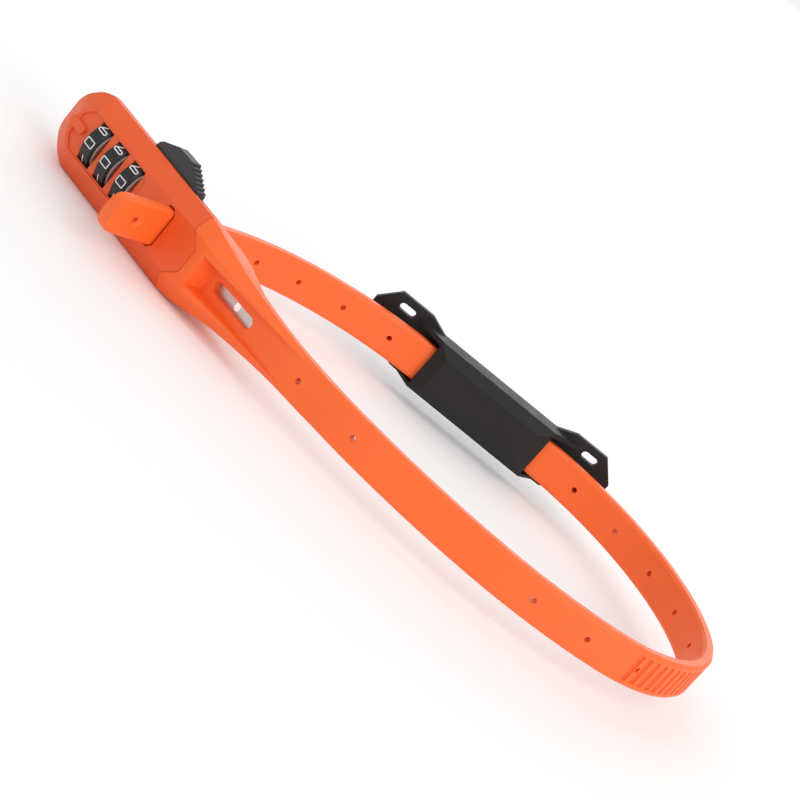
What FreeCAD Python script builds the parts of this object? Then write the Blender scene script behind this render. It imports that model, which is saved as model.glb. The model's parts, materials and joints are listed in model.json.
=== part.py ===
import FreeCAD, Part
import Sketcher
import math
import os

# Lockable security tie: a steel-cored strap with a combination lock head on one end.
# The strap's bare end runs through the head, and a carrier sleeve rides on the loop.
# Frame: +Z up, origin at the bottom centre of the bounding box, millimetres.
# The loop lies on its side, so the strap's width runs along Z and its thickness lies in the XY plane.
# Head frame: x along the head towards the strap, y up, z out of the face with the dials.
# The head frame's origin is where the strap's root and its tail would cross.

doc = FreeCAD.newDocument("security_tie")
sheet = doc.addObject("Spreadsheet::Sheet", "sizes")

SIZES = [
    # placing of the whole object
    ("sleeve_x", 25.7, "sleeve centre, X"),
    ("sleeve_y", 44.3, "sleeve centre, Y"),
    ("mid_z", 10.5, "height of the strap's mid-width"),
    # strap section
    ("strap_width", 10.0, ""),
    ("strap_thick", 3.0, ""),
    ("strap_bevel_wide", 0.8, "bevel of the long edges, across the width"),
    ("strap_bevel_deep", 0.6, "bevel of the long edges, across the thickness"),
    ("core_width", 6.4, ""),
    ("core_thick", 1.2, ""),
    ("hole_pitch", 15.0, "pitch of the small holes along the strap"),
    ("hole_radius", 0.7, ""),
    ("core_hole_radius", 1.3, "holes in the steel band, lined by the skin"),
    # centreline of the strap, from the head's crossing point round to the tip
    ("neck_straight", 27.7, ""),
    ("root_arc_radius", 135.0, ""),
    ("root_arc_angle", 33.0, ""),
    ("middle_arc_radius", 89.0, ""),
    ("middle_arc_angle", 22.0, ""),
    ("end_arc_radius", 38.0, ""),
    ("end_arc_angle", 81.0, ""),
    ("far_arc_radius", 53.0, ""),
    ("far_arc_angle", 82.0, ""),
    ("sleeve_straight", 32.0, ""),
    ("return_arc_radius", 62.0, ""),
    ("return_arc_angle", 24.0, ""),
    ("last_arc_radius", 83.0, ""),
    ("last_arc_angle", 28.0, ""),
    ("tail_straight", 45.0, ""),
    ("head_angle", -38.0, "direction of the head's x axis in the XY plane"),
    ("bend_start", 97.0, "distance along the strap where the flexing stretch starts"),
    ("bend_stop", 250.0, "distance along the strap where the flexing stretch stops"),
    ("core_start", 5.6, ""),
    ("cover_start", 8.2, "seam between the head's shells and the strap's moulded neck"),
    ("neck_stop", 58.0, "where the neck has become plain strap"),
    ("window_hole", 25.6, "distance of the neck hole from the crossing point"),
    ("window_from", 18.6, ""),
    ("window_to", 32.5, ""),
    ("window_width", 2.9, ""),
    ("window_hole_radius", 1.05, ""),
    # head
    ("head_depth", 15.5, "from the face to the back"),
    ("rim_half", 10.5, ""),
    ("panel_half", 6.2, ""),
    ("back_half", 6.2, ""),
    ("rim_end", -42.6, "x of the round end at the rim"),
    ("rim_top", 5.25, "z where the front bevel meets the side"),
    ("rim_bottom", 3.6, "z where the side meets the back bevel"),
    ("parting", 4.4, "z of the joint between the two shells"),
    ("wall", 1.5, ""),
    ("tongue_tip", 12.3, ""),
    ("tongue_half", 3.2, ""),
    ("tongue_root_half", 6.8, ""),
    ("slot_length", 11.0, "tail slot, across the head"),
    ("slot_width", 4.0, ""),
    ("slot_bevel", 1.3, ""),
    ("recess_depth", 0.4, ""),
    ("recess_half", 5.6, ""),
    ("recess_from", -37.0, ""),
    ("recess_to", -10.3, ""),
    # dials
    ("dial_radius", 7.3, ""),
    ("dial_width", 3.7, ""),
    ("dial_bore", 4.6, ""),
    ("dial_pitch", 7.0, ""),
    ("dial_first", -28.7, "x of the first window's centre"),
    ("axle_z", 1.8, "z of the dial axis above the crossing point"),
    ("window_half_x", 2.4, ""),
    ("window_half_y", 5.25, ""),
    ("ring_radius", 6.5, ""),
    ("ring_hub", 4.55, ""),
    ("ring_flange", 0.6, ""),
    ("spindle_radius", 1.5, ""),
    ("running_gap", 0.05, ""),
    ("nose_radius", 0.52, ""),
    ("bolt_travel", 2.6, ""),
    # thumb slide
    ("slide_from", -17.6, ""),
    ("slide_to", 0.3, ""),
    ("slide_thick", 3.0, ""),
    ("slide_floor", 1.3, ""),
    # sleeve
    ("sleeve_length", 35.6, ""),
    ("sleeve_rise", 0.5, "height of the sleeve's centre above the strap's mid-width"),
    ("sleeve_top", 7.4, "from the sleeve's centre"),
    ("sleeve_bottom", 7.1, "from the sleeve's centre"),
    ("sleeve_front", 4.3, ""),
    ("sleeve_back", 4.0, ""),
    ("channel_width", 10.8, ""),
    ("channel_depth", 4.2, ""),
    ("ear_tip", 37.2, ""),
    ("ear_half", 9.5, ""),
    ("ear_thick", 1.7, ""),
    ("tie_slot_x", 29.1, "each tie slot's centre from the sleeve's centre"),
    ("tie_slot_z", 6.6, "height of the tie slots above the sleeve's centre"),
    ("tie_slot_length", 4.6, ""),
    ("tie_slot_width", 2.0, ""),
]

for row, (alias, value, note) in enumerate(SIZES, start=1):
    sheet.set("A%d" % row, alias)
    sheet.set("B%d" % row, str(value))
    sheet.set("C%d" % row, note)
    sheet.setAlias("B%d" % row, alias)
doc.recompute()


def size(alias):
    return float(getattr(sheet, alias))


V = FreeCAD.Vector
UP = V(0, 0, 1)
MID = size("mid_z")


# ---------------------------------------------------------------- strap centreline

def direction(angle):
    return V(math.cos(math.radians(angle)), math.sin(math.radians(angle)), 0)


def outward(angle):
    """Unit vector out of the loop for a strap heading of this angle."""
    return V(math.sin(math.radians(angle)), -math.cos(math.radians(angle)), 0)


def strap_stretches():
    """Stretches (length, radius) from the crossing point to the tip; radius 0 is straight."""
    stretches = [(size("neck_straight"), 0.0)]
    for name in ("root", "middle", "end", "far"):
        radius = size(name + "_arc_radius")
        stretches.append((radius * math.radians(size(name + "_arc_angle")), radius))
    stretches.append((size("sleeve_straight"), 0.0))
    for name in ("return", "last"):
        radius = size(name + "_arc_radius")
        stretches.append((radius * math.radians(size(name + "_arc_angle")), radius))
    stretches.append((size("tail_straight"), 0.0))
    return stretches


def step(point, heading, length, radius):
    """The point and heading after a stretch."""
    if radius == 0:
        return point + direction(heading) * length, heading
    turn = math.degrees(length / radius)
    centre = point - outward(heading) * radius
    return centre + outward(heading + turn) * radius, heading + turn


STRETCHES = strap_stretches()
STRAP_LENGTH = sum(length for length, radius in STRETCHES)
SLEEVE_AT = sum(length for length, radius in STRETCHES[:5]) + size("sleeve_straight") / 2


def walk(distance, origin):
    """Point and heading at a distance along the centreline that starts at origin."""
    point, heading = origin, size("head_angle")
    for length, radius in STRETCHES:
        part = min(length, distance)
        point, heading = step(point, heading, part, radius)
        distance -= part
        if distance <= 1e-9:
            break
    return point, heading


sleeve_from_zero, sleeve_heading = walk(SLEEVE_AT, V(0, 0, 0))
HEAD_ORIGIN = V(size("sleeve_x"), size("sleeve_y"), MID) - sleeve_from_zero


def on_strap(distance):
    return walk(distance, HEAD_ORIGIN)


def section(distance, outline):
    """Face across the strap: outline points are (across the width, out of the loop)."""
    point, heading = on_strap(distance)
    points = [point + UP * y + outward(heading) * t for y, t in outline]
    return Part.Face(Part.makePolygon(points + points[:1]))


def ribbon(start, stop, outline):
    """Solid with the given section between two distances along the strap."""
    pieces = []
    reached = 0.0
    for length, radius in STRETCHES:
        first = max(start, reached)
        last = min(stop, reached + length)
        if last - first > 1e-6:
            face = section(first, outline)
            point, heading = on_strap(first)
            if radius == 0:
                pieces.append(face.extrude(direction(heading) * (last - first)))
            else:
                centre = point - outward(heading) * radius
                pieces.append(face.revolve(centre, UP, math.degrees((last - first) / radius)))
        reached += length
    solid = pieces[0]
    if len(pieces) > 1:
        solid = pieces[0].multiFuse(pieces[1:])
    return solid


def band_outline(width, thick, bevel_wide, bevel_deep):
    w, t = width / 2, thick / 2
    if bevel_wide == 0:
        return [(-w, -t), (w, -t), (w, t), (-w, t)]
    a, b = w - bevel_wide, t - bevel_deep
    return [(-a, -t), (a, -t), (w, -b), (w, b), (a, t), (-a, t), (-w, b), (-w, -b)]


STRAP = band_outline(size("strap_width"), size("strap_thick"),
                     size("strap_bevel_wide"), size("strap_bevel_deep"))
CORE = band_outline(size("core_width"), size("core_thick"), 0, 0)


def across(distance, radius, half=6.0, y=0.0):
    """Cylinder through the strap's thickness."""
    point, heading = on_strap(distance)
    start = point + UP * y - outward(heading) * half
    return Part.makeCylinder(radius, 2 * half, start, outward(heading))


# grip grooves towards the far end of the loop
GROOVE_START = 147.6
GROOVE_COUNT = 12
GROOVE_PITCH = 2.6
GROOVE_RADIUS = 0.72
GROOVE_STOP = GROOVE_START + (GROOVE_COUNT - 1) * GROOVE_PITCH


def hole_distances(start, stop):
    """Holes at one pitch, counted from 1 mm before the sleeve's centre, none amid the grooves."""
    first = SLEEVE_AT - 1.0 - 12 * size("hole_pitch")
    found = []
    for number in range(0, 24):
        distance = first + number * size("hole_pitch")
        amid_grooves = GROOVE_START + 3 < distance < GROOVE_STOP
        if start + 2 < distance < stop - 2 and distance > 110 and not amid_grooves:
            found.append(distance)
    return found


ROOT_HOLES = [(size("window_hole"), size("window_hole_radius"))]
ROOT_HOLES += [(49.7, size("hole_radius")), (67.4, size("hole_radius"))]


def lined_core(start, stop):
    """The steel band, with holes large enough for the skin to line them."""
    drills = [across(d, size("core_hole_radius")) for d in hole_distances(start, stop)]
    drills += [across(d, size("core_hole_radius")) for d, r in ROOT_HOLES[1:] if start < d < stop]
    return ribbon(start, stop, CORE).cut(drills) if drills else ribbon(start, stop, CORE)


def holes(start, stop):
    drills = [across(d, size("hole_radius")) for d in hole_distances(start, stop)]
    drills += [across(d, r) for d, r in ROOT_HOLES if start < d < stop]
    return drills


# ---------------------------------------------------------------- head frame

HEAD_TURN = FreeCAD.Rotation(UP, size("head_angle")).multiply(FreeCAD.Rotation(V(1, 0, 0), 90))
HEAD_PLACE = FreeCAD.Placement(HEAD_ORIGIN, HEAD_TURN)
IDENTITY = FreeCAD.Placement()


def feature(label, shape, place=IDENTITY):
    """Part::Feature for a shape made by Part functions."""
    item = doc.addObject("Part::Feature", label)
    item.Label = label
    item.Shape = shape
    item.Placement = place
    return item


def box(x0, x1, y0, y1, z0, z1):
    return Part.makeBox(x1 - x0, y1 - y0, z1 - z0, V(x0, y0, z0))


def prism(points, z0, z1):
    corners = [V(x, y, z0) for x, y in points]
    return Part.Face(Part.makePolygon(corners + corners[:1])).extrude(V(0, 0, z1 - z0))


def stadium(x0, x1, width, z0, z1):
    """Slot-shaped block along x."""
    r = width / 2
    body = box(x0 + r, x1 - r, -r, r, z0, z1)
    return body.fuse([Part.makeCylinder(r, z1 - z0, V(x0 + r, 0, z0)),
                      Part.makeCylinder(r, z1 - z0, V(x1 - r, 0, z0))]).removeSplitter()


def half_octagon(z, half, end, right, first_round, second_round):
    """Outline of the head at one height: straight sides and a half-octagon round end."""
    flat = half * 0.47
    corners = [
        (V(right, half, z), 0),
        (V(end + half - flat, half, z), first_round),
        (V(end, flat, z), second_round),
        (V(end, -flat, z), second_round),
        (V(end + half - flat, -half, z), first_round),
        (V(right, -half, z), 0),
    ]
    edges = []
    last = corners[0][0]
    for index in range(1, 5):
        corner, radius = corners[index]
        before = (corners[index - 1][0] - corner).normalize()
        after = (corners[index + 1][0] - corner).normalize()
        half_turn = math.radians(22.5)
        reach = radius * math.tan(half_turn)
        enter = corner + before * reach
        leave = corner + after * reach
        bisector = (before + after).normalize()
        crown = corner + bisector * (radius / math.cos(half_turn) - radius)
        edges.append(Part.LineSegment(last, enter).toShape())
        edges.append(Part.Arc(enter, crown, leave).toShape())
        last = leave
    edges.append(Part.LineSegment(last, corners[5][0]).toShape())
    edges.append(Part.LineSegment(corners[5][0], corners[0][0]).toShape())
    return Part.Wire(edges)


FACE = size("head_depth") / 2
END_STEP = size("rim_half") - size("panel_half")
HEAD_RIGHT = 13.0


def head_solid(right, grow=0.0):
    """The head as if it were solid; a negative grow gives the hollow inside."""
    rim = (size("rim_half") + grow, size("rim_end") - grow, right, 8.5, 6.5)
    panel = (size("panel_half") + grow, size("rim_end") + END_STEP - grow, right, 4.5, 3.5)
    back = (size("back_half") + grow, size("rim_end") + END_STEP - grow, right, 4.5, 3.5)
    levels = [
        half_octagon(-FACE - grow, *back),
        half_octagon(size("rim_bottom"), *rim),
        half_octagon(size("rim_top") + grow / 2, *rim),
        half_octagon(FACE + grow, *panel),
    ]
    return Part.makeLoft(levels, True, True)


outer_head = head_solid(HEAD_RIGHT)
hollow = head_solid(5.5, -size("wall"))
parting = size("parting")
seam = size("cover_start")


def front_zone(gap):
    """Room of the front shell, its edge pulled in by a gap."""
    edge, tip = seam - gap, size("tongue_tip") - gap
    tongue = [
        (-60, -20), (edge, -20), (edge, -size("tongue_root_half")),
        (tip, -size("tongue_half")), (tip, size("tongue_half")),
        (edge, size("tongue_root_half")), (edge, 20), (-60, 20),
    ]
    return prism(tongue, parting + gap, 20)


SEAM_GAP = 0.12
back_zone = box(-60, seam, -20, 20, -20, parting)


def beveled_rectangle(half_x, half_y, bevel):
    a, b = half_x - bevel, half_y - bevel
    return [(-a, -half_y), (a, -half_y), (half_x, -b), (half_x, b),
            (a, half_y), (-a, half_y), (-half_x, b), (-half_x, -b)]


tail_slot = prism(beveled_rectangle(size("slot_width") / 2, size("slot_length") / 2,
                                    size("slot_bevel")), -20, 20)

SCREW_SPOTS = [(-35.0, 3.9), (-35.0, -3.9), (6.9, 4.3), (6.9, -4.3)]
SCREW_RADIUS = 0.7
SCREW_HEAD = 1.2
SCREW_TOP = 5.4
SCREW_SINK = 1.6
POST_RADIUS = 1.4


def post(x, y):
    """Boss for a screw at the round end, as tall as the hollow."""
    return Part.makeCylinder(POST_RADIUS, 40, V(x, y, -20)).common(hollow)


def screw(x, y, gap):
    shank = Part.makeCylinder(SCREW_RADIUS + gap, SCREW_TOP + FACE + gap, V(x, y, -FACE))
    head = Part.makeCylinder(SCREW_HEAD + gap, SCREW_SINK, V(x, y, -FACE))
    if gap == 0:
        head = Part.makeCylinder(SCREW_HEAD, SCREW_SINK - 0.2, V(x, y, -FACE + 0.2))
        shank = Part.makeCylinder(SCREW_RADIUS, SCREW_TOP + FACE - 0.2, V(x, y, -FACE + 0.2))
    return shank.fuse(head)


screw_holes = [screw(x, y, 0.03) for x, y in SCREW_SPOTS]

# anchor pins tie the steel core to the end wall of the shells
ANCHOR_SPOTS = [(6.9, 1.9), (6.9, -1.9)]
ANCHOR_RADIUS = 0.9
ANCHOR_HALF = 3.4


def anchors(gap):
    return [Part.makeCylinder(ANCHOR_RADIUS + gap, 2 * (ANCHOR_HALF + gap),
                              V(x, y, -ANCHOR_HALF - gap)) for x, y in ANCHOR_SPOTS]


core_slot = box(size("core_start") - 0.3, seam + 0.1, -size("core_width") / 2, size("core_width") / 2,
                -size("core_thick") / 2, size("core_thick") / 2)

shell = outer_head.cut(hollow).fuse([post(x, y) for x, y in SCREW_SPOTS[:2]])

DIAL_ROOM = 0.25

# front shell, hollowed round each dial
front = shell.common(front_zone(SEAM_GAP))
dial_centres = [size("dial_first") + number * size("dial_pitch") for number in range(3)]
recess_outline = [
    (size("recess_to"), -3.6), (size("recess_to"), 3.6),
    (size("recess_to") - 2.0, size("recess_half")),
    (size("recess_from") + 2.7, size("recess_half")),
    (size("recess_from"), 2.9), (size("recess_from"), -2.9),
    (size("recess_from") + 2.7, -size("recess_half")),
    (size("recess_to") - 2.0, -size("recess_half")),
]
front = front.cut(prism(recess_outline, FACE - size("recess_depth"), 20))
nub = stadium(-39.4, -33.4, 2.4, FACE - 1.0, FACE + 0.5)
top_edges = [e for e in nub.Edges if abs(e.BoundBox.ZMin - FACE - 0.5) < 0.01]
nub = nub.makeFillet(0.45, top_edges)
front = front.fuse(nub).removeSplitter()
for centre in dial_centres:
    left, right = centre - size("window_half_x"), centre + size("window_half_x")
    window = box(left, right, -size("window_half_y"), size("window_half_y"), -20, 20)
    well = Part.makeCylinder(size("dial_radius") + DIAL_ROOM, right - left,
                             V(left, 0, size("axle_z")), V(1, 0, 0))
    front = front.cut([window, well])
front = front.cut([tail_slot] + screw_holes + anchors(0.02))
feature("head_front_cover", front, HEAD_PLACE)

# back shell
back = shell.common(back_zone)
slide_opening = box(size("slide_from") - 0.3, size("slide_to") + size("bolt_travel") + 0.3,
                    4.0, 20, size("slide_floor") - 0.1, parting + 1)
back = back.cut([tail_slot, slide_opening, core_slot] + screw_holes + anchors(0.02))
feature("head_back_cover", back, HEAD_PLACE)

SOCKET_RADIUS = 0.6
screws = []
for x, y in SCREW_SPOTS:
    one = screw(x, y, 0)
    spot = V(x, y, 0)
    corners = [spot + direction(60 * k) * SOCKET_RADIUS for k in range(6)]
    socket = prism([(c.x, c.y) for c in corners], -FACE - 1, -FACE + 1.0)
    screws.append(one.cut(socket))
feature("cover_screws", Part.makeCompound(screws), HEAD_PLACE)
feature("root_anchor_pins", Part.makeCompound(anchors(0)), HEAD_PLACE)

# ---------------------------------------------------------------- strap and neck

NECK_STATIONS = [
    # distance, then (half width, height) of the panel edge, upper rim, lower rim and back edge
    (seam, (6.2, 7.75), (10.5, 5.25), (10.5, 3.6), (6.2, -7.75)),
    (12.6, (6.1, 7.75), (9.9, 5.25), (9.9, 3.6), (6.1, -7.75)),
    (17.0, (5.8, 7.3), (9.0, 4.8), (9.0, 3.0), (5.8, -7.0)),
    (23.0, (5.2, 5.6), (7.7, 3.5), (7.7, 1.6), (5.2, -5.3)),
    (31.0, (4.5, 3.7), (6.5, 2.2), (6.5, 0.3), (4.5, -3.6)),
    (40.0, (4.2, 2.4), (5.6, 1.2), (5.6, -0.4), (4.2, -2.4)),
    (48.0, (4.25, 1.75), (5.15, 1.0), (5.15, -0.9), (4.25, -1.75)),
    (size("neck_stop"), (4.2, 1.5), (5.0, 0.9), (5.0, -0.9), (4.2, -1.5)),
]


def neck_wire(station):
    distance = station[0]
    point, heading = on_strap(distance)
    half = list(station[1:])
    ring = half + [(-y, z) for y, z in reversed(half)]
    corners = [point + UP * y + outward(heading) * z for y, z in ring]
    return Part.makePolygon(corners + corners[:1])


straight_neck = Part.makeLoft([neck_wire(s) for s in NECK_STATIONS[:2]], True, True)
flared_neck = Part.makeLoft([neck_wire(s) for s in NECK_STATIONS[1:]], True, False)


def placed(shape):
    copy = shape.copy()
    copy.Placement = HEAD_PLACE
    return copy


def lofted_pocket(side):
    """Recess in the neck's outer (1) or inner (-1) face, with a floor that runs out on the strap's face."""
    head_floor, head_top = (16.4, 3.5, side * 2.9), (14.6, 4.1, side * 9.0)
    if side > 0:
        strap_floor, strap_top = (48.0, 4.0, 0.4), (48.0, 4.5, 9.0)
    else:
        strap_floor, strap_top = (48.0, 3.4, -3.3), (48.0, 3.9, -9.0)
    wires = []
    for (x0, y0, z0), (x1, y1, z1) in ((head_floor, strap_floor), (head_top, strap_top)):
        corners = [V(x0, y0, z0), V(x1, y1, z1), V(x1, -y1, z1), V(x0, -y0, z0)]
        wires.append(Part.makePolygon(corners + corners[:1]))
    return Part.makeLoft(wires, True, True)


BACK_WINDOW_WIDTH = 4.6
root_stop = size("bend_start")
root_core = lined_core(size("core_start"), root_stop)
root = straight_neck.fuse([flared_neck, ribbon(size("neck_stop"), root_stop, STRAP)])
root = root.cut(placed(front_zone(0).common(outer_head)))
root = root.cut([
    root_core,
    placed(lofted_pocket(1)),
    placed(lofted_pocket(-1)),
    placed(stadium(size("window_from"), size("window_to"), size("window_width"), 0, 9)),
    placed(stadium(size("window_from"), size("window_to"), BACK_WINDOW_WIDTH, -9, 0)),
])
root = root.cut(holes(0, root_stop))
feature("strap_root_cover", root)
half_core = size("core_thick") / 2
window_hole = Part.makeCylinder(size("window_hole_radius"), 4, V(size("window_hole"), 0, -2))
window_sink = Part.makeCone(1.9, 1.0, half_core + 0.3, V(size("window_hole"), 0, -half_core))
root_core = root_core.cut([placed(cut) for cut in [window_hole, window_sink] + anchors(0.02)])
feature("strap_root_core", root_core)


def groove(distance):
    """Cutter for one grip groove across the outer face."""
    point, heading = on_strap(distance)
    start = point + outward(heading) * (size("strap_thick") / 2 + 0.05) - UP * 3.6
    return Part.makeCylinder(GROOVE_RADIUS, 7.2, start, UP)


bend_from, bend_to = size("bend_start"), size("bend_stop")
bend_core = lined_core(bend_from, bend_to)
grooves = [groove(GROOVE_START + k * GROOVE_PITCH) for k in range(GROOVE_COUNT)]
bend = ribbon(bend_from, bend_to, STRAP).cut([bend_core] + grooves + holes(bend_from, bend_to))
feature("strap_bend_cover", bend)
feature("strap_bend_core", bend_core)

# tail: the plain strap through the sleeve and the head, with a rounded tip
TIP_ROUND = 3.6
tip_at = STRAP_LENGTH
tail_core = lined_core(bend_to, tip_at - 3.0)
tail = ribbon(bend_to, tip_at, STRAP)
tip_point, tip_heading = on_strap(tip_at)
for side in (1, -1):
    inner = tip_point + UP * side * (size("strap_width") / 2 - TIP_ROUND) - outward(tip_heading) * 5
    inner -= direction(tip_heading) * TIP_ROUND
    corner = [inner, inner + direction(tip_heading) * 5, inner + direction(tip_heading) * 5 + UP * side * 5,
              inner + UP * side * 5]
    block_cut = Part.Face(Part.makePolygon(corner + corner[:1])).extrude(outward(tip_heading) * 10)
    round_part = Part.makeCylinder(TIP_ROUND, 10, inner, outward(tip_heading))
    tail = tail.cut(block_cut.cut(round_part))
tail = tail.cut([tail_core] + holes(bend_to, tip_at))
last_hole = hole_distances(bend_to, tip_at)[-1]
hole_point, hole_heading = on_strap(last_hole)
dish = Part.makeCone(0.9, 1.8, 0.5, hole_point - outward(hole_heading) * 1.0, outward(hole_heading) * -1)
tail = tail.cut(dish)
feature("strap_tail_cover", tail)
feature("strap_tail_core", tail_core)

# ---------------------------------------------------------------- helpers for the parametric pieces

def bind(item, links):
    for name, expression in links.items():
        item.setExpression(name, expression)


def new_body(label, place):
    body = doc.addObject("PartDesign::Body", label)
    body.Label = label
    body.Placement = place
    return body


def new_sketch(body, role, name, shift=0.0):
    sketch = body.newObject("Sketcher::SketchObject", name)
    plane = [f for f in body.Origin.OriginFeatures if f.Role == role][0]
    sketch.AttachmentSupport = (plane, [""])
    sketch.MapMode = "FlatFace"
    sketch.AttachmentOffset = FreeCAD.Placement(V(0, 0, shift), FreeCAD.Rotation())
    return sketch


def draw(sketch, points):
    for start, stop in zip(points, points[1:] + points[:1]):
        sketch.addGeometry(Part.LineSegment(V(start[0], start[1], 0), V(stop[0], stop[1], 0)), False)


def circle(sketch, x, y, radius, expression=None):
    index = sketch.addGeometry(Part.Circle(V(x, y, 0), UP, radius), False)
    number = sketch.addConstraint(Sketcher.Constraint("Radius", index, radius))
    if expression:
        sketch.setExpression("Constraints[%d]" % number, expression)


def pad(body, sketch, name, length, expression=None, symmetric=False, backwards=False):
    item = body.newObject("PartDesign::Pad", name)
    item.Profile = sketch
    item.Length = length
    if symmetric:
        item.SideType = "Symmetric"
    item.Reversed = backwards
    if expression:
        item.setExpression("Length", expression)
    return item


def pocket(body, sketch, name, length, symmetric=False):
    item = body.newObject("PartDesign::Pocket", name)
    item.Profile = sketch
    item.Length = length
    if symmetric:
        item.SideType = "Symmetric"
    return item


def along_head(x):
    """Placement whose z axis runs along the head, at x on the dial axis."""
    turn = FreeCAD.Rotation(V(0, 1, 0), 90)
    return HEAD_PLACE.multiply(FreeCAD.Placement(V(x, 0, size("axle_z")), turn))


# ---------------------------------------------------------------- dials and code rings

DIAL_BACK = 2.2
bore_radius = size("spindle_radius") + size("running_gap")
for number, centre in enumerate(dial_centres, start=1):
    dial = new_body("dial_%d" % number, along_head(centre - DIAL_BACK))
    rim = new_sketch(dial, "XY_Plane", "dial_profile_%d" % number)
    circle(rim, 0, 0, size("dial_radius"), "sizes.dial_radius")
    circle(rim, 0, 0, size("dial_bore"), "sizes.dial_bore")
    wheel = pad(dial, rim, "dial_pad_%d" % number, size("dial_width"), "sizes.dial_width")
    doc.recompute()
    outer = [i for i, e in enumerate(wheel.Shape.Edges, start=1)
             if abs(e.BoundBox.XMax - size("dial_radius")) < 0.01 and e.Closed]
    bevel = dial.newObject("PartDesign::Chamfer", "dial_bevel_%d" % number)
    bevel.Base = (wheel, ["Edge%d" % i for i in outer])
    bevel.Size = 0.25
    dial.Tip = bevel

    ring = new_body("code_ring_%d" % number, along_head(centre - DIAL_BACK))
    hub = new_sketch(ring, "XY_Plane", "hub_profile_%d" % number)
    circle(hub, 0, 0, size("ring_hub"), "sizes.ring_hub")
    circle(hub, 0, 0, bore_radius, "sizes.spindle_radius + sizes.running_gap")
    pad(ring, hub, "hub_pad_%d" % number, size("dial_width"), "sizes.dial_width")
    lip = new_sketch(ring, "XY_Plane", "flange_profile_%d" % number, size("dial_width"))
    circle(lip, 0, 0, size("ring_radius"), "sizes.ring_radius")
    circle(lip, 0, 0, bore_radius, "sizes.spindle_radius + sizes.running_gap")
    pad(ring, lip, "flange_pad_%d" % number, size("ring_flange"), "sizes.ring_flange")
    gate = new_sketch(ring, "XY_Plane", "gate_profile_%d" % number, size("dial_width") + size("ring_flange"))
    draw(gate, [(5.4, -0.8), (7.0, -0.8), (7.0, 0.8), (5.4, 0.8)])
    pocket(ring, gate, "gate_%d" % number, size("ring_flange"))

# ---------------------------------------------------------------- spindle that bolts the strap

SPINDLE_BACK = -38.8
COLLAR_WIDE = 0.8
COLLAR_RADIUS = 2.35
NOSE_FROM = -6.4
NOSE_TIP = -1.75
FORK_FROM, FORK_TO = -10.3, -9.1
FORK_GAP = 0.1
GROOVE_DEEP = 1.0

spindle = new_body("code_spindle", along_head(SPINDLE_BACK))
profile = new_sketch(spindle, "XZ_Plane", "spindle_profile")
r = size("spindle_radius")
draw(profile, [
    (0, 0), (COLLAR_RADIUS, 0), (COLLAR_RADIUS, COLLAR_WIDE), (r, COLLAR_WIDE),
    (r, FORK_FROM - FORK_GAP - SPINDLE_BACK), (GROOVE_DEEP, FORK_FROM - FORK_GAP - SPINDLE_BACK),
    (GROOVE_DEEP, FORK_TO + FORK_GAP - SPINDLE_BACK), (r, FORK_TO + FORK_GAP - SPINDLE_BACK),
    (r, NOSE_FROM - SPINDLE_BACK), (size("nose_radius"), NOSE_FROM - SPINDLE_BACK),
    (size("nose_radius"), NOSE_TIP - 0.25 - SPINDLE_BACK),
    (size("nose_radius") - 0.25, NOSE_TIP - SPINDLE_BACK),
    (0, NOSE_TIP - SPINDLE_BACK),
])
turned = spindle.newObject("PartDesign::Revolution", "spindle_turned")
turned.Profile = profile
turned.ReferenceAxis = (profile, ["V_Axis"])
turned.Angle = 360

# flat-wire spring between the spindle's collar and the first bearing plate
BEARINGS = [(-33.5, -31.5), (-26.1, -24.4), (-19.1, -17.4), (-12.1, -10.8)]
WIRE_WIDE, WIRE_THICK = 0.5, 0.36
COIL = 2.05
spring_length = BEARINGS[0][0] - (SPINDLE_BACK + COLLAR_WIDE)
helix = Part.makeHelix(1.15, spring_length - WIRE_THICK - 0.06, COIL)
w, t = WIRE_WIDE / 2, WIRE_THICK / 2
wire_corners = [V(COIL - w, 0, -t), V(COIL + w, 0, -t), V(COIL + w, 0, t), V(COIL - w, 0, t)]
wire_section = Part.makePolygon(wire_corners + wire_corners[:1])
coil = Part.Wire(helix).makePipeShell([wire_section], True, True)
feature("spindle_spring", coil, along_head(SPINDLE_BACK + COLLAR_WIDE + t + 0.03))

# ---------------------------------------------------------------- chassis inside the head

def block(name, x0, x1, y0, y1, z0, z1):
    item = doc.addObject("Part::Box", name)
    item.Length, item.Width, item.Height = x1 - x0, y1 - y0, z1 - z0
    item.Placement.Base = V(x0, y0, z0)
    return item


PLATE_HALF = 5.2
RAIL_IN = 3.9
FLOOR = -5.9
THROAT_FROM, THROAT_TO = -3.6, 4.5
blocks = [block("bearing_%d" % k, x0, x1, -PLATE_HALF, PLATE_HALF, FLOOR, 5.3)
          for k, (x0, x1) in enumerate(BEARINGS, start=1)]
for side, y0, y1 in (("upper", RAIL_IN, PLATE_HALF), ("lower", -PLATE_HALF, -RAIL_IN)):
    blocks.append(block("rail_" + side, BEARINGS[0][0], THROAT_TO, y0, y1, FLOOR, -4.8))
blocks.append(block("throat_block", THROAT_FROM, THROAT_TO, -7.0, 7.0, -1.0, 5.0))
blocks.append(block("throat_foot", THROAT_FROM, THROAT_TO, -PLATE_HALF, PLATE_HALF, FLOOR, -1.0))
joined_blocks = doc.addObject("Part::MultiFuse", "chassis_blocks")
joined_blocks.Shapes = blocks
room = doc.addObject("Part::Feature", "chassis_room")
room.Shape = head_solid(THROAT_TO + 0.5, -size("wall") - 0.1)
fitted_blocks = doc.addObject("Part::MultiCommon", "chassis_fitted")
fitted_blocks.Shapes = [joined_blocks, room]

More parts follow.
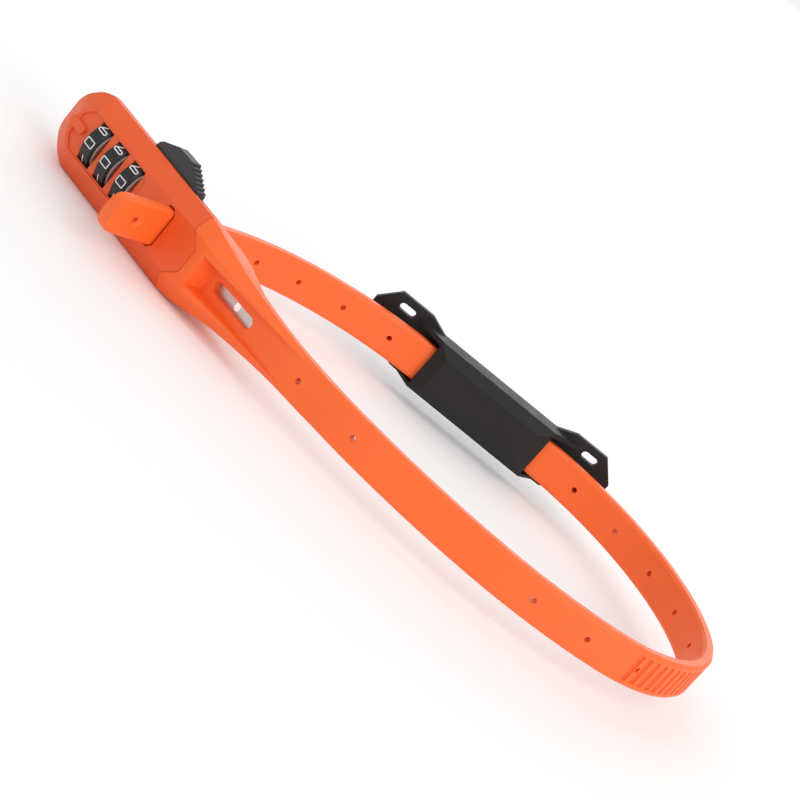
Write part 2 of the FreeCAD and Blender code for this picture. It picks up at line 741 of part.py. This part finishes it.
bore = doc.addObject("Part::Cylinder", "spindle_bore")
bore.Height = 32.5
bore.Placement = FreeCAD.Placement(V(-38, 0, size("axle_z")), FreeCAD.Rotation(V(0, 1, 0), 90))
bore.setExpression("Radius", "sizes.spindle_radius + sizes.running_gap")
nose_bore = doc.addObject("Part::Cylinder", "nose_bore")
nose_bore.Placement = FreeCAD.Placement(V(-5, 0, size("axle_z")), FreeCAD.Rotation(V(0, 1, 0), 90))
nose_bore.Height = 5
nose_bore.setExpression("Radius", "sizes.nose_radius + sizes.running_gap")

throat = doc.addObject("Part::Feature", "throat_slot")
throat.Shape = tail_slot
core_room = block("core_room", 3.0, 6.0, -3.4, 3.4, -0.8, 0.8)
openings = doc.addObject("Part::MultiFuse", "chassis_openings")
openings.Shapes = [bore, nose_bore, throat, core_room]
chassis = doc.addObject("Part::Cut", "lock_chassis")
chassis.Label = "lock_chassis"
chassis.Base = fitted_blocks
chassis.Tool = openings
chassis.Placement = HEAD_PLACE

# leaf that clicks the dials, held at the bearing plates
LEAF_Y = -7.75
LEAF_THICK = 0.2
leaf_blocks = [block("leaf", -33.0, -11.2, LEAF_Y, LEAF_Y + LEAF_THICK, 1.1, 3.4)]
for k, (x0, x1) in enumerate(BEARINGS, start=1):
    leaf_blocks.append(block("leaf_foot_%d" % k, (x0 + x1) / 2 - 0.5, (x0 + x1) / 2 + 0.5,
                             LEAF_Y + LEAF_THICK, -PLATE_HALF, 1.4, 2.2))
leaf = doc.addObject("Part::MultiFuse", "dial_detent_spring")
leaf.Label = "dial_detent_spring"
leaf.Shapes = leaf_blocks
leaf.Placement = HEAD_PLACE

# ---------------------------------------------------------------- thumb slide that moves the spindle

RIB_COUNT = 7
RIB_PROUD = 0.3
slide_place = HEAD_PLACE.multiply(FreeCAD.Placement(V(0, 0, size("slide_floor")), FreeCAD.Rotation()))
slide = new_body("thumb_slide", slide_place)
slope_top, slope_foot = V(-6.7, 14.6, 0), V(size("slide_to"), size("rim_half"), 0)
slope = slope_foot - slope_top
normal = V(-slope.y, slope.x, 0).normalize()
ribs = []
for k in range(RIB_COUNT):
    for share, proud in ((0.2, 0), (0.2, RIB_PROUD), (0.7, RIB_PROUD), (0.7, 0)):
        point = slope_top + slope * ((k + share) / RIB_COUNT) + normal * proud
        ribs.append((point.x, point.y))
hump = new_sketch(slide, "XY_Plane", "slide_profile")
draw(hump, [
    (size("slide_from"), 8.9), (size("slide_from"), 10.6), (size("slide_from") + 0.4, 11.7),
    (size("slide_from") + 1.2, 12.5), (-11.9, 14.5), (slope_top.x, slope_top.y),
] + ribs + [(slope_foot.x, slope_foot.y), (size("slide_to"), 8.9)])
pad(slide, hump, "slide_pad", size("slide_thick"), "sizes.slide_thick")
fork = new_sketch(slide, "YZ_Plane", "fork_profile", FORK_FROM)
axle = size("axle_z") - size("slide_floor")
reach = GROOVE_DEEP + 0.05
draw(fork, [
    (-1.6, axle - 2.2), (6.8, axle - 2.2), (6.8, 0), (9.3, 0), (9.3, axle + 2.2), (-1.6, axle + 2.2),
    (-1.6, axle + reach), (reach, axle + reach), (reach, axle - reach), (-1.6, axle - reach),
])
pad(slide, fork, "fork_pad", FORK_TO - FORK_FROM)

# ---------------------------------------------------------------- carrier sleeve

sleeve_centre = V(size("sleeve_x"), size("sleeve_y"), MID + size("sleeve_rise"))
sleeve = new_body("carrier_sleeve", FreeCAD.Placement(sleeve_centre, FreeCAD.Rotation()))
front_y, back_y = -size("sleeve_front"), size("sleeve_back")
top_z, bottom_z = size("sleeve_top"), -size("sleeve_bottom")
tube = new_sketch(sleeve, "YZ_Plane", "tube_profile")
draw(tube, [
    (front_y, -4.7), (front_y, 4.7), (front_y + 1.7, top_z), (back_y - 0.3, top_z),
    (back_y, top_z - 0.3), (back_y, bottom_z + 0.3), (back_y - 0.3, bottom_z), (front_y + 1.7, bottom_z),
])
pad(sleeve, tube, "tube_pad", size("sleeve_length"), "sizes.sleeve_length", symmetric=True)
ears = new_sketch(sleeve, "XZ_Plane", "ear_profile", -size("sleeve_back"))
tip_x, ear_z = size("ear_tip"), size("ear_half")
right_side = [(17.0, bottom_z), (18.6, bottom_z), (24.0, -6.9), (tip_x, -1.0), (tip_x, 4.4),
              (32.6, ear_z), (23.2, ear_z), (17.8, top_z), (17.0, top_z)]
draw(ears, right_side + [(-x, z) for x, z in reversed(right_side)])
pad(sleeve, ears, "ear_pad", size("ear_thick"), "sizes.ear_thick")

# webs that join each ear to the tube, above and below the strap
ear_front = back_y - size("ear_thick")
for name, web_tip, low, thick in (("upper", 26.0, top_z - 1.3, 1.3), ("lower", 21.5, bottom_z, 0.9)):
    for side in (1, -1):
        label = "%s_web_%d" % (name, (3 - side) / 2)
        web = new_sketch(sleeve, "XY_Plane", label + "_profile", low)
        draw(web, [(side * 17.0, front_y + 1.7), (side * 17.8, front_y + 1.7),
                   (side * web_tip, ear_front + 0.2), (side * 17.0, ear_front + 0.2)])
        pad(sleeve, web, label, thick)
channel = new_sketch(sleeve, "YZ_Plane", "channel_profile")
c, w = size("channel_depth") / 2, size("channel_width") / 2
low, high = -w - size("sleeve_rise"), w - size("sleeve_rise")
draw(channel, [(-c, low + 0.8), (-c + 0.8, low), (c - 0.8, low), (c, low + 0.8),
               (c, high - 0.8), (c - 0.8, high), (-c + 0.8, high), (-c, high - 0.8)])
pocket(sleeve, channel, "channel", 2 * size("ear_tip") + 4, symmetric=True)
slots = new_sketch(sleeve, "XZ_Plane", "tie_slots", 0.0)
slot_half, slot_round = size("tie_slot_length") / 2, size("tie_slot_width") / 2
for side in (-1, 1):
    middle = V(side * size("tie_slot_x"), size("tie_slot_z"), 0)
    reach_x, rise = V(slot_half - slot_round, 0, 0), V(0, slot_round, 0)
    for turn in (1, -1):
        end = middle + reach_x * turn
        bottom, top, crown = end - rise * turn, end + rise * turn, end + V(slot_round * turn, 0, 0)
        slots.addGeometry(Part.LineSegment(middle - reach_x * turn - rise * turn, bottom), False)
        slots.addGeometry(Part.Arc(bottom, crown, top), False)
pocket(sleeve, slots, "tie_slot_cuts", 20, symmetric=True)
for number, side in enumerate((1, -1), start=1):
    mouth = new_sketch(sleeve, "XY_Plane", "mouth_%d" % number)
    x = side * size("sleeve_length") / 2
    draw(mouth, [(x + side, front_y - 1), (x - side * 3.2, front_y - 1), (x - side * 3.2, front_y),
                 (x, front_y + 1.5), (x + side, front_y + 1.5)])
    pocket(sleeve, mouth, "mouth_cut_%d" % number, 30, symmetric=True)
doc.recompute()

# ---------------------------------------------------------------- export

NODES = [
    "head_front_cover", "head_back_cover", "cover_screws", "root_anchor_pins",
    "strap_root_cover", "strap_root_core", "strap_bend_cover", "strap_bend_core",
    "strap_tail_cover", "strap_tail_core",
    "dial_1", "dial_2", "dial_3", "code_ring_1", "code_ring_2", "code_ring_3",
    "code_spindle", "spindle_spring", "lock_chassis", "dial_detent_spring",
    "thumb_slide", "carrier_sleeve",
]

doc.recompute()
for item in doc.Objects:
    if "Invalid" in item.State or "Error" in item.State:
        raise RuntimeError("%s is in state %s" % (item.Name, item.State))

os.makedirs("parts", exist_ok=True)
for label in NODES:
    node = [o for o in doc.Objects if o.Label == label][0]
    shape = node.Shape
    if shape.isNull() or not shape.isValid():
        raise RuntimeError(label + " has no valid shape")
    shape.exportStep("parts/%s.step" % label)
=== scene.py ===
import json
import math

import bmesh
import bpy
from mathutils import Matrix, Vector


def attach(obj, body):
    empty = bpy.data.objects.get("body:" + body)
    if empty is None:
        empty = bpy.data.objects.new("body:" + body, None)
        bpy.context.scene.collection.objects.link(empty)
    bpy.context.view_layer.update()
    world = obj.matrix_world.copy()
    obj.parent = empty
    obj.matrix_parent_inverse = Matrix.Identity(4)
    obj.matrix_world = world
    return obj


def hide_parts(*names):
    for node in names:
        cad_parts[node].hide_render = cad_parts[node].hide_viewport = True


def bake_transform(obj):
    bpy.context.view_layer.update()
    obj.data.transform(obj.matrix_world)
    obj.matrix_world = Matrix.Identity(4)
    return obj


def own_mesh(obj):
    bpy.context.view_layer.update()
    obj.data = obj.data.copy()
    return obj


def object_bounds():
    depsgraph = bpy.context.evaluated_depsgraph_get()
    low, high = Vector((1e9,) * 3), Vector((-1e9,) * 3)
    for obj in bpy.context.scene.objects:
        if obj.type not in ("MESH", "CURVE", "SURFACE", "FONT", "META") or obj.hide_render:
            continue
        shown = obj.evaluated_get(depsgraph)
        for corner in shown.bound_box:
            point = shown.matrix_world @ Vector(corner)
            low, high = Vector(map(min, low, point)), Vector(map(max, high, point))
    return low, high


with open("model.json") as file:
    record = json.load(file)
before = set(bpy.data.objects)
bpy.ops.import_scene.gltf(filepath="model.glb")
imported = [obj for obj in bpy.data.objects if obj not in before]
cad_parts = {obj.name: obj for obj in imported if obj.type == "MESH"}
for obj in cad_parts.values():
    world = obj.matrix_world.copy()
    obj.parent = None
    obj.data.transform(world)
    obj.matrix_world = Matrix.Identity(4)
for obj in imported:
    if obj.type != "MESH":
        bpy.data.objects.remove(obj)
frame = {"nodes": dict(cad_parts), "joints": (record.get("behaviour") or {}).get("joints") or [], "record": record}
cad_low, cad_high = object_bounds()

MM = 0.001
UP = Vector((0, 0, 1))
joints = {joint["name"]: joint for joint in frame["joints"]}

# the head's own axes: ALONG runs towards the strap, OUT points out of the face with the dials
ALONG = Vector(joints["bolt_slide"]["axis"])
OUT = ALONG.cross(UP)


# ---------------------------------------------------------------- materials

def new_material(name):
    material = bpy.data.materials.new(name)
    material.use_nodes = True
    nodes = material.node_tree.nodes
    shader = next(n for n in nodes if n.type == "BSDF_PRINCIPLED")
    return material, nodes, material.node_tree.links, shader


def noise(nodes, links, source, scale, detail=3.0, rough=0.55):
    """Noise with this many waves to the metre."""
    node = nodes.new("ShaderNodeTexNoise")
    node.inputs["Scale"].default_value = scale
    node.inputs["Detail"].default_value = detail
    node.inputs["Roughness"].default_value = rough
    links.new(source, node.inputs["Vector"])
    return node.outputs["Fac"]


def spread(nodes, links, value, low, high):
    """Maps the middle of a noise to low..high."""
    node = nodes.new("ShaderNodeMapRange")
    node.inputs["From Min"].default_value = 0.3
    node.inputs["From Max"].default_value = 0.7
    node.inputs["To Min"].default_value = low
    node.inputs["To Max"].default_value = high
    links.new(value, node.inputs["Value"])
    return node.outputs["Result"]


def tinted(nodes, links, fac, dark, light):
    """Colour between dark and light."""
    node = nodes.new("ShaderNodeMix")
    node.data_type = "RGBA"
    node.inputs["A"].default_value = (*dark, 1)
    node.inputs["B"].default_value = (*light, 1)
    links.new(fac, node.inputs["Factor"])
    return node.outputs["Result"]


def grain_bump(nodes, links, heights, edge_mm):
    """Bumps from (height, strength, distance in mm) triples over edges rounded to edge_mm."""
    normal = None
    if edge_mm:
        edge = nodes.new("ShaderNodeBevel")
        edge.samples = 6
        edge.inputs["Radius"].default_value = edge_mm * MM
        normal = edge.outputs["Normal"]
    for height, strength, distance in heights:
        bump = nodes.new("ShaderNodeBump")
        bump.inputs["Strength"].default_value = strength
        bump.inputs["Distance"].default_value = distance * MM
        links.new(height, bump.inputs["Height"])
        if normal is not None:
            links.new(normal, bump.inputs["Normal"])
        normal = bump.outputs["Normal"]
    return normal


def plastic(name, dark, light, rough, grain_mm, grain_depth_mm, edge_mm, ior=1.46):
    """Moulded plastic: cloudy tone, patchy gloss, a fine moulded grain and rounded edges."""
    material, nodes, links, shader = new_material(name)
    place = nodes.new("ShaderNodeTexCoord").outputs["Object"]
    cloud = noise(nodes, links, place, 55, 4)
    links.new(tinted(nodes, links, cloud, dark, light), shader.inputs["Base Color"])
    smudge = noise(nodes, links, place, 210, 5, 0.6)
    links.new(spread(nodes, links, smudge, rough - 0.05, rough + 0.06), shader.inputs["Roughness"])
    grain = noise(nodes, links, place, 1000 / grain_mm, 2, 0.5)
    wave = noise(nodes, links, place, 120, 1)
    heights = [(wave, 0.12, 0.15), (grain, 0.5, grain_depth_mm)]
    links.new(grain_bump(nodes, links, heights, edge_mm), shader.inputs["Normal"])
    shader.inputs["IOR"].default_value = ior
    return material


def metal(name, dark, light, rough, along, edge_mm, scratch=0.03):
    """Metal with fine drawn lines running along a direction."""
    material, nodes, links, shader = new_material(name)
    place = nodes.new("ShaderNodeTexCoord").outputs["Object"]
    turn = nodes.new("ShaderNodeMapping")
    turn.vector_type = "TEXTURE"
    turn.inputs["Rotation"].default_value = along.to_track_quat("X", "Z").to_euler()
    turn.inputs["Scale"].default_value = (14, 1, 1)
    links.new(place, turn.inputs["Vector"])
    lines = noise(nodes, links, turn.outputs["Vector"], 2600, 3)
    cloud = noise(nodes, links, place, 160, 3)
    links.new(tinted(nodes, links, cloud, dark, light), shader.inputs["Base Color"])
    links.new(spread(nodes, links, lines, rough - 0.08, rough + 0.12), shader.inputs["Roughness"])
    links.new(grain_bump(nodes, links, [(lines, 0.4, scratch)], edge_mm), shader.inputs["Normal"])
    shader.inputs["Metallic"].default_value = 1.0
    return material


shell_orange = plastic("shell_orange_plastic", (0.80, 0.098, 0.016), (0.86, 0.116, 0.022), 0.4,
                       0.35, 0.008, 0.3)
strap_orange = plastic("strap_orange_skin", (0.91, 0.128, 0.016), (0.97, 0.150, 0.022), 0.45,
                       0.30, 0.010, 0.3)
sleeve_black = plastic("sleeve_black_plastic", (0.005, 0.0055, 0.0055), (0.011, 0.0115, 0.0115), 0.52,
                       0.45, 0.05, 0.5, 1.4)
slide_black = plastic("slide_black_plastic", (0.026, 0.027, 0.028), (0.042, 0.043, 0.044), 0.46,
                      0.4, 0.03, 0.3)
dial_black = plastic("dial_black_plastic", (0.010, 0.011, 0.011), (0.017, 0.018, 0.018), 0.4,
                     0.3, 0.008, 0.12)
digit_white = plastic("digit_white_print", (0.78, 0.79, 0.78), (0.88, 0.88, 0.87), 0.5,
                      0.2, 0.004, 0)
steel = metal("drawn_steel", (0.62, 0.62, 0.60), (0.74, 0.74, 0.72), 0.42, ALONG, 0.1)
screw_steel = metal("blackened_screw_steel", (0.10, 0.10, 0.10), (0.17, 0.17, 0.16), 0.35, UP, 0.08)
ring_metal = metal("cast_ring_metal", (0.44, 0.42, 0.40), (0.56, 0.54, 0.52), 0.5, UP, 0.1)
chassis_metal = metal("cast_chassis_metal", (0.40, 0.40, 0.40), (0.50, 0.50, 0.49), 0.5, UP, 0.15)

FINISH = {
    "orange_shell": shell_orange,
    "orange_strap": strap_orange,
    "dial_plastic": dial_black,
    "dark_plastic": slide_black,
    "sleeve_plastic": sleeve_black,
    "steel": steel,
    "screw_steel": screw_steel,
    "ring_metal": ring_metal,
    "chassis_metal": chassis_metal,
}
SLOT_OF = {part["node"]: part["material_slot"] for part in frame["record"]["subparts"]}

for name, node in frame["nodes"].items():
    node.data.materials.clear()
    node.data.materials.append(FINISH[SLOT_OF[name]])


# ---------------------------------------------------------------- pieces that flex

WELD = 0.002 * MM
ON_CUT = 0.02 * MM
LONGEST_EDGE = 3.0 * MM
SHARP = math.radians(20)


def linked_object(name, mesh):
    """A scene object made from a bmesh, which is freed."""
    data = bpy.data.meshes.new(name)
    mesh.to_mesh(data)
    mesh.free()
    piece = bpy.data.objects.new(name, data)
    bpy.context.scene.collection.objects.link(piece)
    return piece


def end_faces(mesh, point, heading):
    """Faces that lie flat across the strap at one of its cut ends."""
    found = []
    for face in mesh.faces:
        flat = abs(face.normal.dot(heading)) > 0.999
        if flat and abs((face.calc_center_median() - point).dot(heading)) < ON_CUT:
            found.append(face)
    return found


def stand_in(name, source, cuts=()):
    """A welded, finer copy that replaces a CAD node, without the end faces where two skins meet."""
    mesh = bmesh.new()
    mesh.from_mesh(frame["nodes"][source].data)
    bmesh.ops.remove_doubles(mesh, verts=mesh.verts, dist=WELD)
    doomed = []
    for point, heading in cuts:
        doomed += end_faces(mesh, point, heading)
    bmesh.ops.delete(mesh, geom=doomed, context="FACES")
    for _ in range(4):
        long = [e for e in mesh.edges if e.calc_length() > LONGEST_EDGE]
        if not long:
            break
        bmesh.ops.subdivide_edges(mesh, edges=long, cuts=1)
        bmesh.ops.triangulate(mesh, faces=[f for f in mesh.faces if len(f.verts) > 4])
    for edge in mesh.edges:
        edge.smooth = len(edge.link_faces) == 2 and edge.calc_face_angle() < SHARP
    for face in mesh.faces:
        face.smooth = True
    piece = linked_object(name, mesh)
    piece.data.materials.append(FINISH[SLOT_OF[source]])
    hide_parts(source)
    return piece


def heading_at(degrees):
    return Vector((math.cos(math.radians(degrees)), math.sin(math.radians(degrees)), 0))


# where the flexing stretch starts and stops: the middle of the strap, and its heading there
BEND_FROM = (Vector((25.49, -45.50, 10.5)) * MM, heading_at(-8.59))
BEND_TO = (Vector((60.48, 40.86, 10.5)) * MM, heading_at(159.24))

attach(stand_in("strap_root_skin", "strap_root_cover", [BEND_FROM]), "head")
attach(stand_in("strap_tail_skin", "strap_tail_cover", [BEND_TO]), "tail")
for name, source in (("strap_bend_skin", "strap_bend_cover"), ("strap_bend_band", "strap_bend_core")):
    piece = stand_in(name, source, [BEND_FROM, BEND_TO])
    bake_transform(piece)

# the spring, which shortens towards the bearing plate as the spindle's collar comes in, gets a finer copy with its
# own mesh that rides with the head; nothing here shortens it
spring = stand_in("spindle_spring_coil", "spindle_spring")
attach(spring, "head")
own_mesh(spring)


# ---------------------------------------------------------------- dial numbers

# sizes in mm: half a digit's width W and height T, half the stroke, and the reach of a slanting leg
W, T = 1.36, 0.88
STROKE = 0.14
LEG = 0.9
DIAL_RADIUS = 7.3
# heights of a stroke's foot below the dial's surface and of its top above it
FOOT, TOP = -0.06, 0.03
SHORT_STEP = 0.3
TURN_PER_DIGIT = math.radians(36)
# wide, low digits, with x to the right and y up; each is a list of (corner points, closed, corner radius)
DIGITS = {
    0: [([(-W, -T), (W, -T), (W, T), (-W, T)], True, 0.2)],
    1: [([(0, T), (0, -T)], False, 0)],
    2: [([(-W, T), (W, T), (W, 0), (-W, 0), (-W, -T), (W, -T)], False, 0.25)],
    3: [([(-W, T), (W, T), (W, -T), (-W, -T)], False, 0.25), ([(-0.3, 0), (W, 0)], False, 0)],
    4: [([(-W, T), (-W, -0.2), (W, -0.2)], False, 0.2), ([(0.7, T), (0.7, -T)], False, 0)],
    5: [([(W, T), (-W, T), (-W, 0), (W, 0), (W, -T), (-W, -T)], False, 0.25)],
    6: [([(-W, -T), (W, -T), (W, -0.1), (-W, -0.1)], True, 0.38), ([(-1.1, -0.15), (0.15, LEG)], False, 0)],
    7: [([(-W, T), (W, T), (-0.4, -T)], False, 0.2)],
    8: [([(-W, 0), (W, 0), (W, T), (-W, T)], True, 0.35),
        ([(-W, -T), (W, -T), (W, 0), (-W, 0)], True, 0.35)],
    9: [([(-W, 0.1), (W, 0.1), (W, T), (-W, T)], True, 0.38), ([(1.1, 0.15), (-0.15, -LEG)], False, 0)],
}


def rounded(points, closed, radius):
    """The stroke's centreline with its corners rounded."""
    corners = [Vector(p) for p in points]
    line = []
    count = len(corners)
    for index, corner in enumerate(corners):
        if not closed and index in (0, count - 1):
            line.append(corner)
            continue
        before = corners[index - 1] - corner
        after = corners[(index + 1) % count] - corner
        reach = min(radius, before.length / 2, after.length / 2)
        enter = corner + before.normalized() * reach
        leave = corner + after.normalized() * reach
        for share in (0, 0.2, 0.4, 0.6, 0.8, 1):
            bend = corner.lerp(leave, share)
            line.append(enter.lerp(corner, share).lerp(bend, share))
    return line


def subdivided(line, closed):
    """The same line in short steps, so that the strip can follow the dial's curve."""
    fine = []
    followers = line[1:] + line[:1] if closed else line[1:]
    for here, there in zip(line, followers):
        steps = max(1, math.ceil((there - here).length / SHORT_STEP))
        fine += [here.lerp(there, k / steps) for k in range(steps)]
    return fine if closed else fine + [line[-1]]


def stroke_ribbon(mesh, line, closed, to_dial):
    """A thin raised strip along the line, with sides that reach into the dial."""
    count = len(line)
    rows = []
    for index, point in enumerate(line):
        before = line[index - 1] if closed or index else point
        after = line[(index + 1) % count] if closed or index < count - 1 else point
        run = (after - before).normalized()
        side = Vector((-run.y, run.x)) * STROKE
        if not closed and index == 0:
            point = point - run * STROKE
        if not closed and index == count - 1:
            point = point + run * STROKE
        rows.append([mesh.verts.new(to_dial(point + side * share, depth))
                     for share, depth in ((1, FOOT), (0.9, TOP), (-0.9, TOP), (-1, FOOT))])
    for index in range(count if closed else count - 1):
        here, there = rows[index], rows[(index + 1) % count]
        for k in range(3):
            mesh.faces.new((here[k], here[k + 1], there[k + 1], there[k]))
    if not closed:
        mesh.faces.new(list(reversed(rows[0])))
        mesh.faces.new(rows[-1])


def dial_numbers(number):
    """The ten numbers of one dial, with their tops towards the head's lower edge."""
    centre = Vector(joints["dial_%d_turn" % number]["pos_m"])
    mesh = bmesh.new()
    for digit, strokes in DIGITS.items():
        middle = -TURN_PER_DIGIT * digit

        def to_dial(point, raised):
            angle = middle - point.y / DIAL_RADIUS
            reach = DIAL_RADIUS + raised
            radial = OUT * math.cos(angle) + UP * math.sin(angle)
            return centre + (radial * reach - ALONG * point.x) * MM

        for points, closed, radius in strokes:
            line = subdivided(rounded(points, closed, radius), closed)
            stroke_ribbon(mesh, line, closed, to_dial)
    bmesh.ops.recalc_face_normals(mesh, faces=mesh.faces)
    piece = linked_object("dial_%d_numbers" % number, mesh)
    piece.data.materials.append(digit_white)
    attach(piece, "dial_%d" % number)


for number in (1, 2, 3):
    dial_numbers(number)


# ---------------------------------------------------------------- floor, light and camera

floor_material, nodes, links, shader = new_material("pale_floor")
place = nodes.new("ShaderNodeTexCoord").outputs["Object"]
mottle = noise(nodes, links, place, 6, 4)
links.new(tinted(nodes, links, mottle, (0.92, 0.92, 0.92), (0.95, 0.95, 0.95)), shader.inputs["Base Color"])
tooth = noise(nodes, links, place, 900)
links.new(grain_bump(nodes, links, [(tooth, 0.2, 0.02)], 0), shader.inputs["Normal"])
shader.inputs["Roughness"].default_value = 0.8
FLOOR_REACH = 40.0
FLOOR_DROP = 0.2 * MM
corners = [(x * FLOOR_REACH, y * FLOOR_REACH, 0) for x, y in ((-1, -1), (1, -1), (1, 1), (-1, 1))]
floor_mesh = bpy.data.meshes.new("floor")
floor_mesh.from_pydata(corners, [], [(0, 1, 2, 3)])
floor_mesh.materials.append(floor_material)
floor = bpy.data.objects.new("floor", floor_mesh)
floor.location.z = cad_low.z - FLOOR_DROP
bpy.context.scene.collection.objects.link(floor)

SKY_LIGHT = 0.64
world = bpy.data.worlds.new("soft_studio")
world.use_nodes = True
background = world.node_tree.nodes["Background"]
background.inputs["Color"].default_value = (1.0, 1.0, 1.0, 1)
# the sky itself shows as white as the floor, and lights the scene less strongly
light_path = world.node_tree.nodes.new("ShaderNodeLightPath")
sky = world.node_tree.nodes.new("ShaderNodeMapRange")
sky.inputs["To Min"].default_value = SKY_LIGHT
sky.inputs["To Max"].default_value = 1.0
world.node_tree.links.new(light_path.outputs["Is Camera Ray"], sky.inputs["Value"])
world.node_tree.links.new(sky.outputs["Result"], background.inputs["Strength"])
bpy.context.scene.world = world


def aimed(name, data, spot, target):
    lamp = bpy.data.objects.new(name, data)
    lamp.location = spot
    lamp.rotation_euler = (Vector(target) - Vector(spot)).to_track_quat("-Z", "Y").to_euler()
    bpy.context.scene.collection.objects.link(lamp)


def soft_panel(name, spot, size, power):
    """A studio light panel aimed at the object."""
    data = bpy.data.lights.new(name, "AREA")
    data.shape = "RECTANGLE"
    data.size, data.size_y = size
    data.energy = power
    aimed(name, data, spot, (0, 0, 0))


def sky_light(name, spot, strength, spread_degrees):
    """Even light from one side that reaches the whole floor alike."""
    data = bpy.data.lights.new(name, "SUN")
    data.energy = strength
    data.angle = math.radians(spread_degrees)
    aimed(name, data, spot, (0, 0, 0))


sky_light("overhead_light", (-0.2, 0.1, 1.0), 0.6, 90)
sky_light("key_light", (0.9, -0.9, 1.0), 0.75, 50)
soft_panel("front_panel", (0.9, -1.3, 0.45), (0.9, 0.7), 5)
soft_panel("rim_panel", (0.25, 1.5, 0.55), (1.6, 0.7), 5)

# the camera looks down at the loop and is rolled, so that the head is at the upper left
right = Vector((0.77044, 0.08693, 0.63155))
upward = Vector((-0.62577, 0.29237, 0.72315))
backward = right.cross(upward)
camera_data = bpy.data.cameras.new("camera")
camera_data.lens = 121.8
camera_data.sensor_width = 36.0
camera_data.clip_start = 0.05
camera_data.clip_end = 150
camera = bpy.data.objects.new("camera", camera_data)
stand = Vector((-0.0717, -0.5898, 0.1855))
camera.matrix_world = Matrix((
    (right.x, upward.x, backward.x, stand.x),
    (right.y, upward.y, backward.y, stand.y),
    (right.z, upward.z, backward.z, stand.z),
    (0, 0, 0, 1),
))
bpy.context.scene.collection.objects.link(camera)
bpy.context.scene.camera = camera
bpy.context.scene.view_settings.view_transform = "Standard"
